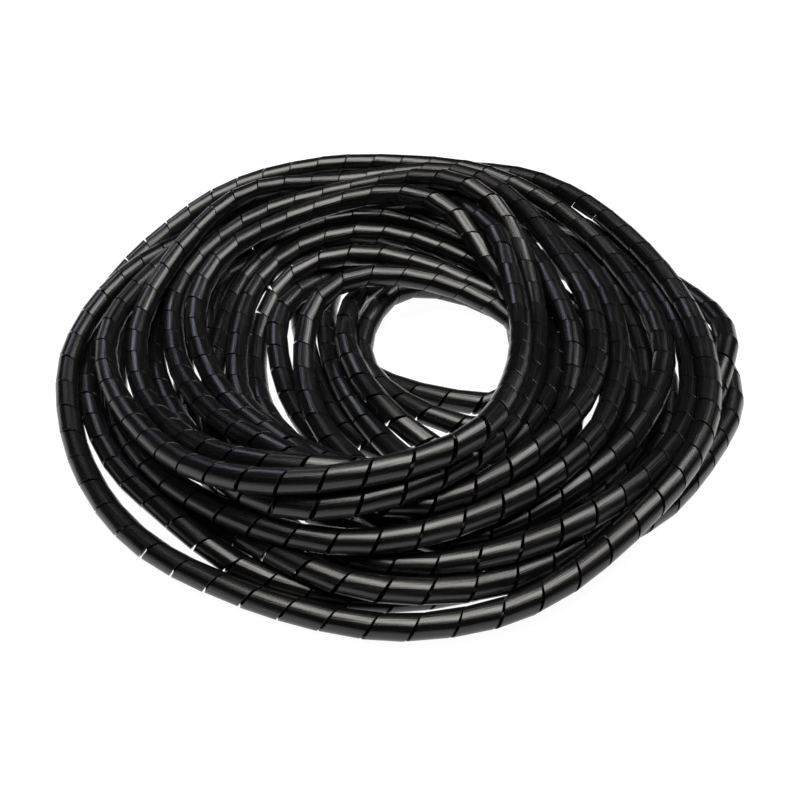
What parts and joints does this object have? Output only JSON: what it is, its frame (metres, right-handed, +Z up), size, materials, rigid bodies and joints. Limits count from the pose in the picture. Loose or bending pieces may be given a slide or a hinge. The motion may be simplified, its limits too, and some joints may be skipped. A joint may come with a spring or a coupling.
{
  "type": "spiral cable wrap",
  "caption": "Loose coil of glossy black spiral-cut plastic tube, which is wound round cables to bundle and protect them.",
  "frame": {"origin": "floor level, under the middle of the coil", "axes": "+Z up along the coil's bore, -Y towards the viewer of the picture, +X to their right"},
  "size_m": [0.252, 0.252, 0.05],
  "materials": {
    "black_polyethylene": "smooth extruded black polyethylene, glossy, with faint lengthwise draw lines"
  },
  "bodies": {
    "root": {"spiral_wrap_coil": "black_polyethylene"}
  },
  "joints": []
}
